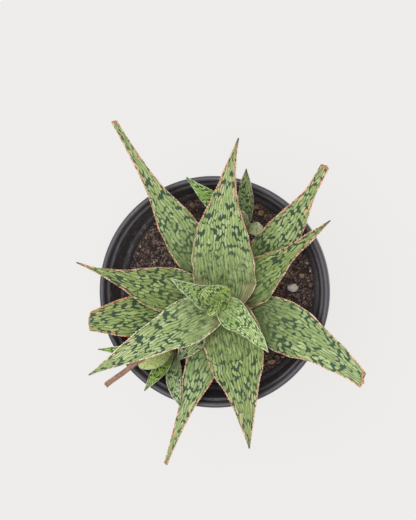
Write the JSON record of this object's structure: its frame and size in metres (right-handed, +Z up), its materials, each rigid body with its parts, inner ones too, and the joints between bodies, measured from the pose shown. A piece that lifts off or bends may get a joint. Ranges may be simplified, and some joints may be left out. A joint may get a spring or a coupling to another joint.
{
  "type": "potted aloe",
  "caption": "Speckled rosette aloe with two young offsets and a dried flower stalk, planted in a round black nursery pot filled with bark and perlite potting mix.",
  "frame": {"origin": "centre of the pot's underside, on the surface that it stands on", "axes": "+Z up along the pot's axis; +Y towards the tallest leaf; +X towards the side from which the picture is slightly tilted"},
  "size_m": [0.1364, 0.1634, 0.142],
  "materials": {
    "pot_plastic": "satin black injection-moulded plastic with faint turning rings and dust",
    "potting_mix": "damp dark peat and bark mix with fine tan and white grit",
    "stem_skin": "dull green-brown stem skin",
    "leaf": "waxy light green with dark green transverse flecks and toothed pink-orange margins",
    "young_leaf": "fresh green with darker flecks and toothed cream-green margins",
    "dry_stalk": "dry pinkish-brown fibre, torn at its end",
    "perlite": "rough white expanded mineral",
    "bark": "rough tan bark chip"
  },
  "bodies": {
    "root": {"pot": "pot_plastic", "potting_mix": "potting_mix", "main_stem": "stem_skin", "leaf_01": "leaf", "leaf_02": "leaf", "leaf_03": "leaf", "leaf_04": "leaf", "leaf_05": "leaf", "leaf_06": "leaf", "leaf_07": "leaf", "leaf_08": "leaf", "leaf_09": "leaf", "leaf_10": "leaf", "leaf_11": "leaf", "leaf_12": "young_leaf", "leaf_13": "young_leaf", "leaf_14": "young_leaf", "leaf_15": "young_leaf", "flower_stalk": "dry_stalk", "offset_a_stem": "stem_skin", "offset_a_leaf_1": "young_leaf", "offset_a_leaf_2": "young_leaf", "offset_a_leaf_3": "young_leaf", "offset_a_leaf_4": "young_leaf", "offset_b_stem": "stem_skin", "offset_b_leaf_1": "young_leaf", "offset_b_leaf_2": "young_leaf", "offset_b_leaf_3": "young_leaf", "offset_b_leaf_4": "young_leaf", "perlite_lump": "perlite", "bark_chip_1": "bark", "bark_chip_2": "bark", "bark_chip_3": "bark"}
  },
  "joints": []
}
